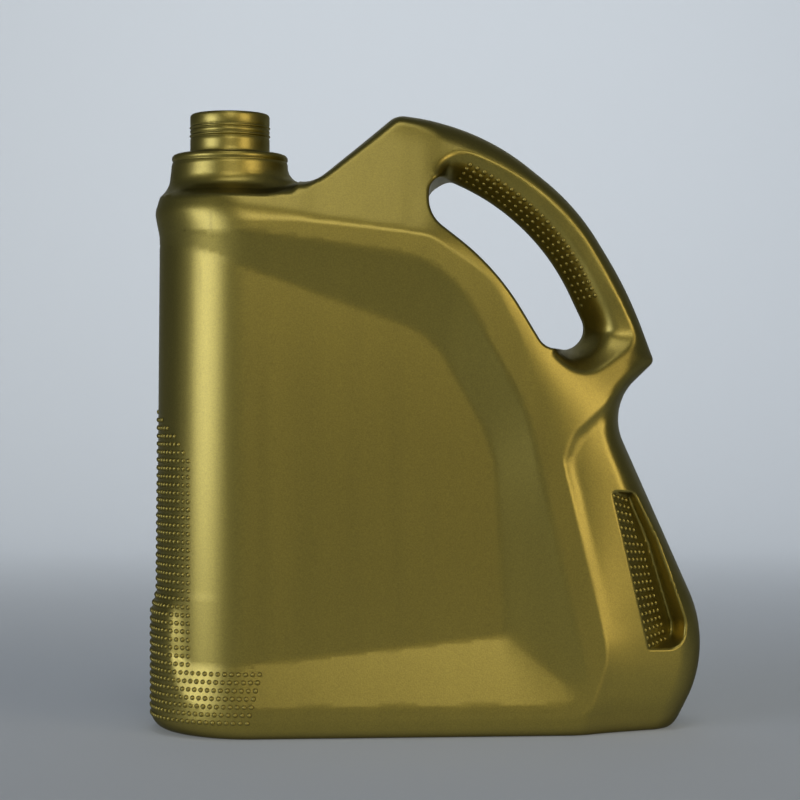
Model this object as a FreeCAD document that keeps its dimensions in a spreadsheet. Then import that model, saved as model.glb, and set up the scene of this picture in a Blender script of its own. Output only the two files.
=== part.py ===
import FreeCAD, Part
import math
import os
import Sketcher

# Blow-moulded oil jug: one hollow body with a side handle, a screw neck, a flat label field on each
# face and a finger grip in each hip. Millimetres, +Z up, origin on the floor under the middle of the
# body. The mould parts on the plane y = 0, and both halves are alike.

V = FreeCAD.Vector
os.makedirs("parts", exist_ok=True)
doc = FreeCAD.newDocument("jug")
sheet = doc.addObject("Spreadsheet::Sheet", "sizes")

# ---------------------------------------------------------------- driving dimensions
# A size is a number, or it is measured from other sizes: their names, then the distance.

END = "neck_end"
TOP = "shoulder_height"
FACE = "half_depth"
NECK_RADIUS = "neck_radius"

PLAIN = {                             # name -> (size, what it is)
    "neck_end": (-129.2, "x of the body's end under the neck"),
    "shoulder_height": (250.0, "height of the body's shoulder"),
    "half_depth": (53.5, "half depth of the body at its neck end"),
    "wall": (1.2, "wall of the moulding"),
    "core_half_depth": (16.0, "half depth of the handle and of the body's outline"),
    "bore_radius": (16.1, "radius of the pouring bore"),
    "neck_radius": (("bore_radius", 2.6), "radius of the screw neck, its wall outside the bore"),
    "neck_axis": ((END, "skirt_out_across", 2.3), "x of the neck's axis, its skirt inside the end"),
    "skirt_height": ((TOP, -14.0), "height of the foot of the neck's skirt"),
    "lip_height": ((TOP, 38.4), "height of the lip"),
    "bead_ring": ((NECK_RADIUS, -0.1), "radius of the middle of a closure bead"),
    "bead_round": (0.75, "radius of a closure bead's section"),
    "bead_upper": ((TOP, 32.2), "height of the upper bead"),
    "bead_lower": ((TOP, 28.1), "height of the lower bead"),
    "bar_round": (7.0, "rounding of the handle's outer edges"),
    "base_round": (6.0, "rounding round the base"),
    "grip_mouth": ((FACE, -20.5), "distance of the grip's mouth from the parting plane"),
    "grip_bottom": (("grip_mouth", -18.0), "distance of the grip's bottom from the parting plane"),
    "foot_hollow": (2.0, "rise of the base inside its standing rim"),
    "foot_rim": (10.0, "width of the standing rim"),
    "past_end": ((END, -20.8), "x past the neck end, where the field's cutting shapes start"),
    "past_plane": (-80.0, "depth past the parting plane, where a half plan is closed"),
    "tool_reach": ((FACE, 21.5), "how far a cutting shape reaches past the body's faces"),
    "field_reach": ((FACE, 6.5), "how far the field's cutting shape reaches in, past the parting plane"),
    "field_clear": (20.0, "how far the field's cutting shape reaches out in front"),
    "tool_height": ((TOP, 150.0), "height of an upright shape that passes the whole jug"),
}

# A corner is where two straight edges would meet: name -> (x, z, rounding radius).

CORNERS = {
    # silhouette of the body and the handle
    "heel": ((END, 0.0), 0.0, 0.0),
    "shoulder": ((END, 0.0), (TOP, 0.0), 10.0),
    "saddle": ((END, 77.2), (TOP, 6.0), 18.0),
    "crest": (-14.0, (TOP, 37.5), 10.0),
    "back": (65.8, (TOP, 26.9), 124.0),
    "tip": (107.6, (TOP, -78.0), 3.5),
    "notch": (85.2, (TOP, -100.1), 25.0),
    "hip": (134.6, 41.7, 60.0),
    "toe": (117.8, 0.0, 10.0),
    # foot of the thick flank where it rises out of the handle and passes the finger hole
    "flank_root": (10.0, (TOP, 31.0), 0.0),
    "flank_bend": (14.0, (TOP, 0.0), 8.0),
    "flank_knee": (45.0, (TOP, -25.0), 40.0),
    "flank_foot": (64.0, (TOP, -60.0), 9.0),
    "flank_shelf": (92.0, (TOP, -70.0), 0.0),
    # region of the handle bar, whose outer edges are rounded
    "bar_start": (-6.0, (TOP, 50.0), 0.0),
    "bar_far": (140.0, (TOP, 50.0), 0.0),
    "bar_end": (("bar_far_across", 0.0), (TOP, -82.0), 0.0),
    "bar_foot": (82.0, ("bar_end_up", 0.0), 0.0),
    "bar_inside": (20.0, (TOP, -10.0), 0.0),
    "bar_root": (("bar_start_across", 0.0), (TOP, 0.0), 0.0),
    # ridge: outer edge of the raised frame round the label field
    "ridge_heel": ((END, 0.0), 0.0, 0.0),
    "ridge_shoulder": ((END, 0.0), (TOP, -11.5), 10.0),
    "ridge_saddle": ((END, 69.2), (TOP, -15.5), 60.0),
    "ridge_crest": (-34.0, (TOP, -18.2), 60.0),
    "ridge_root": (-14.0, (TOP, -20.0), 0.0),
    "ridge_bend": (2.0, (TOP, -21.0), 20.0),
    "ridge_knee": (29.0, (TOP, -42.0), 30.0),
    "ridge_shin": (41.0, (TOP, -66.0), 60.0),
    "ridge_shelf": (48.0, (TOP, -84.0), 0.0),
    "ridge_mount": (54.0, (TOP, -100.5), 30.0),
    "ridge_notch": (64.0, (TOP, -135.0), 60.0),
    "ridge_hip": (83.0, 36.0, 30.0),
    "ridge_toe": (74.0, 0.0, 10.0),
    # inner edge of the raised frame, open past the neck end
    "frame_low_left": (("past_end", 0.0), 14.5, 0.0),
    "frame_top_left": (("past_end", 0.0), (TOP, -18.0), 0.0),
    "frame_top": ((END, 43.2), (TOP, -19.5), 60.0),
    "frame_knee": (9.0, (TOP, -32.5), 45.0),
    "frame_shin": (46.0, (TOP, -102.0), 80.0),
    "frame_low_right": (76.0, ("frame_low_left_up", 0.0), 12.0),
    # edge of the flat label field
    "field_low_left": (("past_end", 0.0), 33.0, 0.0),
    "field_top_left": (("past_end", 0.0), (TOP, -23.0), 0.0),
    "field_top": ((END, 29.2), (TOP, -29.0), 60.0),
    "field_knee": (3.0, (TOP, -66.0), 40.0),
    "field_shin": (31.0, (TOP, -117.0), 60.0),
    "field_low_right": (36.0, 46.5, 4.0),
    # finger hole at the parting plane
    "eye_side": (0.5, (TOP, -12.0), 16.0),
    "eye_top": (("eye_side_across", 0.0), (TOP, 11.9), 8.0),
    "eye_back": (51.7, (TOP, -11.2), 105.0),
    "eye_low": (80.5, (TOP, -74.5), 10.0),
    "eye_foot": (54.5, ("eye_low_up", 0.0), 9.0),
    "eye_belly": (31.5, (TOP, -36.5), 120.0),
    # finger hole where its flared wall meets the faces
    "rim_top": (("eye_side_across", 0.0), (TOP, 26.0), 9.0),
    "rim_back": (61.0, (TOP, 0.5), 105.0),
    "rim_low": (98.0, ("eye_low_up", -6.5), 12.0),
    "rim_foot": (57.0, ("eye_low_up", -7.0), 12.0),
    # mouth and bottom of the finger grip in the hip
    "grip_top": (86.5, (TOP, -138.0), 3.0),
    "grip_back_top": (96.0, ("grip_top_up", 0.0), 6.0),
    "grip_back_low": (121.0, ("grip_low_up", 0.0), 7.0),
    "grip_low": (101.5, 41.0, 3.0),
    "floor_top": (93.0, ("grip_top_up", -4.0), 1.5),
    "floor_back_top": (97.0, ("floor_top_up", 0.0), 1.5),
    "floor_back_low": (118.0, ("floor_low_up", 0.0), 3.0),
    "floor_low": (111.0, ("grip_low_up", 3.0), 1.5),
    # half of the body seen from above, (x, -y, radius), closed past the parting plane
    "plan_end_mid": ((END, 0.0), ("past_plane", 0.0), 0.0),
    "plan_end": ((END, 0.0), (FACE, 0.0), 44.0),
    "plan_side": (72.0, (FACE, -16.1), 90.0),
    "plan_hip": (134.0, (FACE, -41.5), 16.0),
    "plan_hip_mid": (("plan_hip_across", 0.0), ("past_plane", 0.0), 0.0),
    # the same for the wall inside the label field
    "field_end_mid": (("field_end_across", 0.0), ("past_plane", 0.0), 0.0),
    "field_end": ((END, 2.6), (FACE, -1.7), 42.0),
    "field_side": (120.0, (FACE, -28.5), 0.0),
    "field_side_mid": (("field_side_across", 0.0), ("past_plane", 0.0), 0.0),
    # collar and screw neck, (radius, z, rounding)
    "skirt_middle": (0.0, ("skirt_height", 0.0), 0.0),
    "skirt_edge": ((NECK_RADIUS, 11.3), ("skirt_height", 0.0), 0.0),
    "skirt_out": ((NECK_RADIUS, 15.8), (TOP, -5.0), 0.0),
    "flare": ((NECK_RADIUS, 8.9), (TOP, 6.0), 14.0),
    "collar_edge": ((NECK_RADIUS, 8.1), (TOP, 17.8), 3.2),
    "collar_top": ((NECK_RADIUS, 1.3), (TOP, 19.6), 0.0),
    "neck_foot": ((NECK_RADIUS, 0.0), (TOP, 20.2), 0.0),
    "neck_lip": ((NECK_RADIUS, 0.0), ("lip_height", 0.0), 1.2),
    "neck_middle": (0.0, ("lip_height", 0.0), 0.0),
}
SILHOUETTE = ["heel", "shoulder", "saddle", "crest", "back", "tip", "notch", "hip", "toe"]
FLANK = ["heel", "shoulder", "saddle", "crest", "flank_root", "flank_bend", "flank_knee", "flank_foot",
         "flank_shelf", "tip", "notch", "hip", "toe"]
EYE = ["eye_side", "eye_top", "eye_back", "eye_low", "eye_foot", "eye_belly"]
RIM = ["eye_side", "rim_top", "rim_back", "rim_low", "rim_foot", "eye_belly"]


def named(*starts):
    """Corner names that begin with any of the given words, in order."""
    return [name for name in CORNERS if name.split("_")[0] in starts]


BAR = named("bar")
RIDGE = named("ridge")
FRAME_EDGE = named("frame")
GRIP = named("grip")
GRIP_FLOOR = named("floor")
PLAN = named("plan")
FIELD_PLAN = ["field_end_mid", "field_end", "field_side", "field_side_mid"]
FIELD_EDGE = [name for name in named("field") if name not in FIELD_PLAN]
NECK = named("skirt", "flare", "collar", "neck")
measured_from = {}                    # size -> names of the sizes it is measured from


def write_size(row, name, value, note):
    """One cell of the sheet: a size, or its distance from the sizes it is measured from."""
    if isinstance(value, tuple):
        measured_from[name] = value[:-1]
        value = value[-1]
    sheet.set(f"A{row}", note)
    sheet.set(f"B{row}", str(value))
    sheet.setAlias(f"B{row}", name)


def fill_sheet():
    row = 1
    for name, (value, note) in PLAIN.items():
        write_size(row, name, value, note)
        row += 1
    for name, (across, up, radius) in CORNERS.items():
        for ending, value in (("across", across), ("up", up), ("round", radius)):
            if ending != "round" or value:
                write_size(row, f"{name}_{ending}", value, f"{name} {ending}")
                row += 1
    doc.recompute()


def formula(name):
    """Expression for a size, with what it is measured from."""
    return " + ".join([formula(base) for base in measured_from.get(name, ())] + [f"sizes.{name}"])


def size(name):
    """Value of a size, with what it is measured from."""
    return float(sheet.get(name)) + sum(size(base) for base in measured_from.get(name, ()))


# ---------------------------------------------------------------- sketches
def corner_sketch(name, names, placement):
    """Closed outline through the named corners, each rounded by its own radius."""
    sketch = doc.addObject("Sketcher::SketchObject", name)
    sketch.Placement = placement
    points = [V(size(f"{n}_across"), size(f"{n}_up"), 0) for n in names]
    radii = [size(f"{n}_round") if CORNERS[n][2] else 0.0 for n in names]
    count = len(names)
    to_last = [(points[i - 1] - points[i]).normalize() for i in range(count)]
    to_next = [(points[(i + 1) % count] - points[i]).normalize() for i in range(count)]
    halves = [to_last[i].getAngle(to_next[i]) / 2 for i in range(count)]
    reaches = [radii[i] / math.tan(halves[i]) for i in range(count)]
    # two roundings that meet on an edge share it, so each is limited by that edge's length
    shares = [1.0] * count
    for i in range(count):
        after = (i + 1) % count
        wanted = reaches[i] + reaches[after]
        length = points[i].distanceToPoint(points[after])
        if wanted > 0.98 * length:
            shares[i] = min(shares[i], 0.98 * length / wanted)
            shares[after] = min(shares[after], 0.98 * length / wanted)
    radii = [radius * share for radius, share in zip(radii, shares)]
    entry, leave, centres = [], [], []
    for i in range(count):
        reach = reaches[i] * shares[i]
        entry.append(points[i] + to_last[i] * reach)
        leave.append(points[i] + to_next[i] * reach)
        middle = (to_last[i] + to_next[i]).normalize()
        centres.append(points[i] + middle * (radii[i] / math.sin(halves[i])))
    lines = [sketch.addGeometry(Part.LineSegment(leave[i], entry[(i + 1) % count]), False)
             for i in range(count)]

    def bind(kind, *where, alias, value, share=1.0):
        index = sketch.addConstraint(Sketcher.Constraint(kind, *where, value))
        sketch.renameConstraint(index, alias)
        whole = formula(alias)
        sketch.setExpression(f"Constraints.{alias}", whole if share == 1 else f"{share} * ({whole})")

    for i in range(count):
        before, after = lines[i - 1], lines[i]
        if radii[i]:
            turn = (points[i] - points[i - 1]).cross(points[(i + 1) % count] - points[i]).z
            first, last = (entry[i], leave[i]) if turn > 0 else (leave[i], entry[i])
            angles = [math.atan2(p.y - centres[i].y, p.x - centres[i].x) for p in (first, last)]
            circle = Part.Circle(centres[i], V(0, 0, 1), radii[i])
            arc = sketch.addGeometry(Part.ArcOfCircle(circle, angles[0], angles[1]), False)
            start, end = (1, 2) if turn > 0 else (2, 1)
            sketch.addConstraint(Sketcher.Constraint("Tangent", before, 2, arc, start))
            sketch.addConstraint(Sketcher.Constraint("Tangent", arc, end, after, 1))
            bind("Radius", arc, alias=f"{names[i]}_round", value=radii[i], share=shares[i])
            corner = sketch.addGeometry(Part.Point(points[i]), True)
            sketch.addConstraint(Sketcher.Constraint("PointOnObject", corner, 1, before))
            sketch.addConstraint(Sketcher.Constraint("PointOnObject", corner, 1, after))
        else:
            corner = after
            sketch.addConstraint(Sketcher.Constraint("Coincident", before, 2, after, 1))
        bind("DistanceX", -1, 1, corner, 1, alias=f"{names[i]}_across", value=points[i].x)
        bind("DistanceY", -1, 1, corner, 1, alias=f"{names[i]}_up", value=points[i].y)
    return sketch


fill_sheet()
FORWARD = V(0, -1, 0)
UP = V(0, 0, 1)
TURN_FRONT = FreeCAD.Rotation(V(1, 0, 0), 90)


def front_plane(depth):
    """Plane parallel to the parting plane, at a distance in front of it."""
    return FreeCAD.Placement(V(0, -depth, 0), TURN_FRONT)


def side_plane(end, side, inset):
    """Plane of a plan outline's long side, which closes in toward the hip."""
    x_end, y_end = size(f"{end}_across"), -size(f"{end}_up")
    x_side, y_side = size(f"{side}_across"), -size(f"{side}_up")
    angle = math.atan2(y_side - y_end, x_side - x_end)
    at_zero = y_end - x_end * math.tan(angle) + inset / math.cos(angle)
    turn = FreeCAD.Rotation(V(0, 0, 1), math.degrees(angle))
    return FreeCAD.Placement(V(0, at_zero, 0), turn * TURN_FRONT)


def outline(name, group, placement, inset):
    """A group's outline, moved inward by inset."""
    sketch = corner_sketch(name, group, placement)
    if not inset:
        return sketch
    moved = doc.addObject("Part::Offset2D", f"{name}_inset")
    moved.Source = sketch
    moved.Value = -inset
    moved.Join = 2
    doc.recompute()
    return moved


def extrude(name, base, direction, forward, backward):
    solid = doc.addObject("Part::Extrusion", name)
    solid.Base = base
    solid.DirMode = "Custom"
    solid.Dir = direction
    solid.Solid = True
    solid.setExpression("LengthFwd", forward)
    solid.setExpression("LengthRev", backward)
    return solid


def loft(name, *sections):
    solid = doc.addObject("Part::Loft", name)
    solid.Sections = list(sections)
    solid.Solid = True
    solid.Ruled = True
    return solid


def mirror(source):
    """The same shape in the other mould half."""
    other = doc.addObject("Part::Mirroring", f"{source.Name}_back")
    other.Source = source
    other.Base = V(0, 0, 0)
    other.Normal = V(0, 1, 0)
    return other


def join(name, *parts):
    whole = doc.addObject("Part::MultiFuse", name)
    whole.Shapes = list(parts)
    whole.Refine = True
    return whole


def common(name, *parts):
    whole = doc.addObject("Part::MultiCommon", name)
    whole.Shapes = list(parts)
    whole.Refine = True
    return whole


def cut(name, base, tool):
    rest = doc.addObject("Part::Cut", name)
    rest.Base = base
    rest.Tool = tool
    rest.Refine = True
    return rest


def floor_plane(height):
    """Level plane whose second axis points forward."""
    return FreeCAD.Placement(V(0, 0, height), FreeCAD.Rotation(V(1, 0, 0), 180))


def plan_prism(name, group, inset):
    """Upright prism on a plan outline and its mirror image."""
    plan = outline(f"{name}_plan", group, floor_plane(0), inset)
    half = extrude(name, plan, UP, formula("tool_height"), formula("tool_reach"))
    return common(f"{name}_both", half, mirror(half))


def based_prism(name, group, inset):
    """The same, narrowing to the floor in two steps that round the base."""
    radius = size("base_round")
    step = radius * (1 - math.sqrt(0.5))
    levels = [(0, radius), (step, step), (radius, 0)]
    rings = [outline(f"{name}_ring_{i}", group, floor_plane(inset + height), inset + back)
             for i, (height, back) in enumerate(levels)]
    rise = extrude(f"{name}_rise", rings[-1], UP, formula("tool_height"), "0")
    half = join(name, loft(f"{name}_base", *rings), rise)
    return common(f"{name}_both", half, mirror(half))


def bar_form(tag, inset, deep):
    """The handle bar with the edges of its back rounded; the finger hole is cut later."""
    silhouette = outline(f"bar_outline{tag}", SILHOUETTE, front_plane(0), inset)
    full = extrude(f"bar_full{tag}", silhouette, FORWARD, deep, deep)
    limits = corner_sketch(f"bar_limits{tag}", BAR, front_plane(0))
    reach = formula("tool_reach")
    region = extrude(f"bar_region{tag}", limits, FORWARD, reach, reach)
    bar = common(f"bar{tag}", full, region)
    doc.recompute()
    rounded = doc.addObject("Part::Fillet", f"bar_rounded{tag}")
    rounded.Base = bar
    radius = size("bar_round") - inset
    for number, edge in enumerate(bar.Shape.Edges, 1):
        middle = edge.valueAt((edge.FirstParameter + edge.LastParameter) / 2)
        start = edge.Vertexes[0].Point
        along_back = middle.z > size("bar_foot_up") + 4 and middle.x > 0.3 * size("back_across")
        if edge.BoundBox.YLength < 0.01 and along_back and start.z > size("bar_foot_up") + 1:
            rounded.Edges = rounded.Edges + [(number, radius, radius)]
    return rounded


def body_form(tag, inset):
    """The jug's outer form without its neck, or, with an inset, the hollow inside it."""
    deep = f"{formula('core_half_depth')} - {inset}"
    middle = outline(f"core_outline{tag}", FLANK, front_plane(0), inset)
    core = extrude(f"core{tag}", middle, FORWARD, deep, deep)
    near = outline(f"near_outline{tag}", FLANK, front_plane(size("core_half_depth") - inset), inset)
    far = outline(f"far_outline{tag}", RIDGE, side_plane("plan_end", "plan_side", inset), inset)
    flank = loft(f"flank{tag}", near, far)
    tank = join(f"tank{tag}", core, bar_form(tag, inset, deep), flank, mirror(flank))
    plan = based_prism(f"plan{tag}", PLAN, inset)
    shaped = common(f"shaped{tag}", tank, plan)
    return shaped


def eye_tool(tag, inset):
    """Cutting shape of the finger hole: it flares from the parting plane to the faces."""
    middle = outline(f"eye_outline{tag}", EYE, front_plane(0), -inset)
    rim = outline(f"rim_outline{tag}", RIM, front_plane(size("core_half_depth")), -inset)
    throat = loft(f"eye_throat{tag}", middle, rim)
    beyond = f"{formula('tool_reach')} - ({formula('core_half_depth')})"
    reach = extrude(f"eye_reach{tag}", rim, FORWARD, beyond, "0")
    half = join(f"eye{tag}", throat, reach)
    return join(f"eye_both{tag}", half, mirror(half))


def field_tool(tag, inset):
    """Cutting shape of one label field: a sloping wall down to the field, round the left end too."""
    frame = outline(f"frame_outline{tag}", FRAME_EDGE, side_plane("plan_end", "plan_side", inset), -inset)
    field = outline(f"field_outline{tag}", FIELD_EDGE, side_plane("field_end", "field_side", inset), -inset)
    slope = loft(f"field_slope{tag}", frame, field)
    deep = extrude(f"field_deep{tag}", field, FORWARD, "0", formula("field_reach"))
    clear = extrude(f"field_clear{tag}", frame, FORWARD, formula("field_clear"), "0")
    whole = join(f"field_all{tag}", slope, deep, clear)
    core = plan_prism(f"field_core{tag}", FIELD_PLAN, inset)
    half = cut(f"field{tag}", whole, core)
    return join(f"field_both{tag}", half, mirror(half))


def grip_tool(tag, inset):
    """Cutting shape of the finger grip: its floor drops toward a steep back wall."""
    mouth = outline(f"grip_outline{tag}", GRIP, front_plane(size("grip_mouth") + inset), -inset)
    floor = outline(f"floor_outline{tag}", GRIP_FLOOR, front_plane(size("grip_bottom") - inset), -inset)
    half = loft(f"grip{tag}", mouth, floor)
    return join(f"grip_both{tag}", half, mirror(half))


def foot_tool(tag, inset):
    """Shallow hollow under the base, inside the standing rim."""
    inside = plan_prism(f"foot{tag}", PLAN, size("foot_rim") - inset)
    box = doc.addObject("Part::Box", f"foot_box{tag}")
    margin = size("tool_reach")
    box.Placement.Base = V(size("heel_across") - margin, -margin, -margin)
    reach = formula("tool_reach")
    length = f"{reach} - ({formula('heel_across')}) + {formula('toe_across')}"
    box.setExpression("Length", f"{length} - ({formula('foot_rim')}) + {inset}")
    box.setExpression("Width", f"2 * ({reach})")
    box.setExpression("Height", f"{reach} + {formula('foot_hollow')} + {inset}")
    return common(f"foot_hollow{tag}", inside, box)


def jug_form(tag, inset):
    """Outer form of the jug below its neck, or, with an inset, the hollow inside it."""
    footed = cut(f"footed{tag}", body_form(tag, inset), foot_tool(tag, inset))
    eyed = cut(f"eyed{tag}", footed, eye_tool(tag, inset))
    framed = cut(f"framed{tag}", eyed, field_tool(tag, inset))
    return cut(f"gripped{tag}", framed, grip_tool(tag, inset))


def round_part(kind, name, low, **sizes_of):
    """Cylinder, cone or torus about the neck's axis."""
    piece = doc.addObject(kind, name)
    for key, expression in sizes_of.items():
        piece.setExpression(key, expression)
    piece.setExpression("Placement.Base.x", formula("neck_axis"))
    piece.setExpression("Placement.Base.z", low)
    return piece


def neck_form():
    """Collar, screw neck and closure beads, solid."""
    at_axis = FreeCAD.Placement(V(size("neck_axis"), 0, 0), TURN_FRONT)
    neck = doc.addObject("Part::Revolution", "neck")
    neck.Source = corner_sketch("neck_profile", NECK, at_axis)
    neck.Axis = UP
    neck.setExpression("Base.x", formula("neck_axis"))
    neck.Angle = 360
    neck.Solid = True
    rings = {"Radius1": formula("bead_ring"), "Radius2": formula("bead_round")}
    beads = [round_part("Part::Torus", f"bead_{place}", formula(f"bead_{place}"), **rings)
             for place in ("upper", "lower")]
    return join("neck_with_beads", neck, *beads)


def neck_hollow():
    """Room inside the collar, and the pouring bore."""
    foot = formula("skirt_height")
    ceiling = f"{formula('collar_edge_up')} - sizes.wall"
    inside = f"{formula('collar_edge_across')} - sizes.wall"
    room = round_part("Part::Cylinder", "collar_room", foot, Radius=inside,
                      Height=f"{ceiling} - ({foot})")
    skirt = round_part("Part::Cone", "skirt_room", foot,
                       Radius1=f"{formula('skirt_out_across')} - sizes.wall", Radius2=inside,
                       Height=f"{formula('flare_up')} - ({foot})")
    bore = round_part("Part::Cylinder", "bore", f"{ceiling} - 5", Radius="sizes.bore_radius",
                      Height=f"{formula('lip_height')} - ({ceiling}) + 10")
    return join("neck_room", room, skirt, bore)


outside = join("outside", jug_form("", 0), neck_form())
hollow = join("hollow", jug_form("_hollow", size("wall")), neck_hollow())
jug = cut("jug", outside, hollow)
jug.Label = "jug"
doc.recompute()

for thing in doc.Objects:
    if "Invalid" in thing.State or "Error" in thing.State:
        raise RuntimeError(f"{thing.Name} failed: {thing.State}")
if jug.Shape.isNull() or not jug.Shape.isValid() or len(jug.Shape.Solids) != 1:
    raise RuntimeError("the jug is not one valid solid")
print(f"plastic {jug.Shape.Volume / 1000:.1f} cm3, room inside {hollow.Shape.Volume / 1e6:.2f} litres")
jug.Shape.exportStep("parts/jug.step")
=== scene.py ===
import bmesh
import bpy
import math
import time
import numpy as np
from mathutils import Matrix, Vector
from mathutils.bvhtree import BVHTree
from mathutils.geometry import delaunay_2d_cdt


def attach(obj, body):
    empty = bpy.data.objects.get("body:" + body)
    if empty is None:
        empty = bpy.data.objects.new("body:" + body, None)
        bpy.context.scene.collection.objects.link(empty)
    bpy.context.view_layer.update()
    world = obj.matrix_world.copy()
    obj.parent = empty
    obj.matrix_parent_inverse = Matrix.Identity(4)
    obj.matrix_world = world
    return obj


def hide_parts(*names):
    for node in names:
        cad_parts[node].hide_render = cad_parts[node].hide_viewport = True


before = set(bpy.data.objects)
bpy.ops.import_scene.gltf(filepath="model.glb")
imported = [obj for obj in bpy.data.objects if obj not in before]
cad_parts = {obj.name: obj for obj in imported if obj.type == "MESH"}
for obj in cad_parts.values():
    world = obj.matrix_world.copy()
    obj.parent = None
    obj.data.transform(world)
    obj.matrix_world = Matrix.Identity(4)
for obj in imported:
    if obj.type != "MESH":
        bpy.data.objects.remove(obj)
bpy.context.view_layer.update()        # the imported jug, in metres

startTime = time.time()
mm = 0.001               # shapes are worked out in millimetres


def say(stage):
    print(f"{time.time() - startTime:6.1f} s  {stage}")


def roundedLine(corners, closed=True, step=2.0):
    # points along straight edges whose corners (x, z, radius) are rounded
    pts = [np.array(c[:2], float) for c in corners]
    radii = [c[2] if len(c) > 2 else 0.0 for c in corners]
    count = len(pts)
    parts = []
    for i in range(count):
        if not closed and i in (0, count - 1) or radii[i] == 0:
            parts.append([pts[i]])
            continue
        back, ahead = pts[i - 1] - pts[i], pts[(i + 1) % count] - pts[i]
        back, ahead = back / np.linalg.norm(back), ahead / np.linalg.norm(ahead)
        half = math.acos(max(-1.0, min(1.0, float(back @ ahead)))) / 2
        reach = radii[i] / math.tan(half)
        middle = back + ahead
        centre = pts[i] + middle / np.linalg.norm(middle) * radii[i] / math.sin(half)
        first, last = pts[i] + back * reach - centre, pts[i] + ahead * reach - centre
        swing = math.pi - 2 * half
        turns = max(2, int(math.ceil(max(swing / 0.16, swing * radii[i] / step))))
        arc = []
        for k in range(turns + 1):
            t = k / turns
            mix = (math.sin((1 - t) * swing) * first + math.sin(t * swing) * last) / math.sin(swing)
            arc.append(centre + mix)
        parts.append(arc)
    line = []
    order = list(range(count)) + ([0] if closed else [])
    for place, i in enumerate(order):
        if place:
            start, stop = line[-1], parts[i][0]
            pieces = max(1, int(round(np.linalg.norm(stop - start) / step)))
            line += [start + (stop - start) * k / pieces for k in range(1, pieces)]
        if place == len(order) - 1 and closed:
            break
        line += [p for p in parts[i] if not line or np.linalg.norm(p - line[-1]) > 1e-6]
    return np.array(line)


def distanceTo(points, line, closed=False):
    # distance to a line of points
    a = line if closed else line[:-1]
    b = np.roll(line, -1, axis=0) if closed else line[1:]
    d = b - a
    size2 = np.maximum((d ** 2).sum(1), 1e-12)
    best = np.empty(len(points))
    for lo in range(0, len(points), 4000):
        p = points[lo:lo + 4000]
        rel = p[:, None, :] - a[None]
        t = np.clip((rel * d[None]).sum(2) / size2[None], 0, 1)
        gap = rel - t[..., None] * d[None]
        best[lo:lo + 4000] = np.sqrt((gap ** 2).sum(2).min(1))
    return best


def inside(points, line):
    # even-odd test against a closed line
    x, z = points[:, 0], points[:, 1]
    odd = np.zeros(len(points), bool)
    for (x0, z0), (x1, z1) in zip(line, np.roll(line, -1, axis=0)):
        if z0 != z1:
            crossing = (z0 > z) != (z1 > z)
            odd ^= crossing & (x < (x1 - x0) * (z - z0) / (z1 - z0) + x0)
    return odd


def ease(t):
    t = np.clip(t, 0, 1)
    return t * t * (3 - 2 * t)


def fade(name, value):
    # rises from nought to one where one shape gives way to the next
    start, length = jug["fades"][name]
    return ease((value - start) / length)


def through(knots, value):
    xs, ys = zip(*knots)
    return np.interp(value, xs, ys)


def softly(knots, value, reach):
    # the same with its corners rounded off
    return sum(through(knots, value + reach * k / 4) for k in range(-4, 5)) / 9


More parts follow.
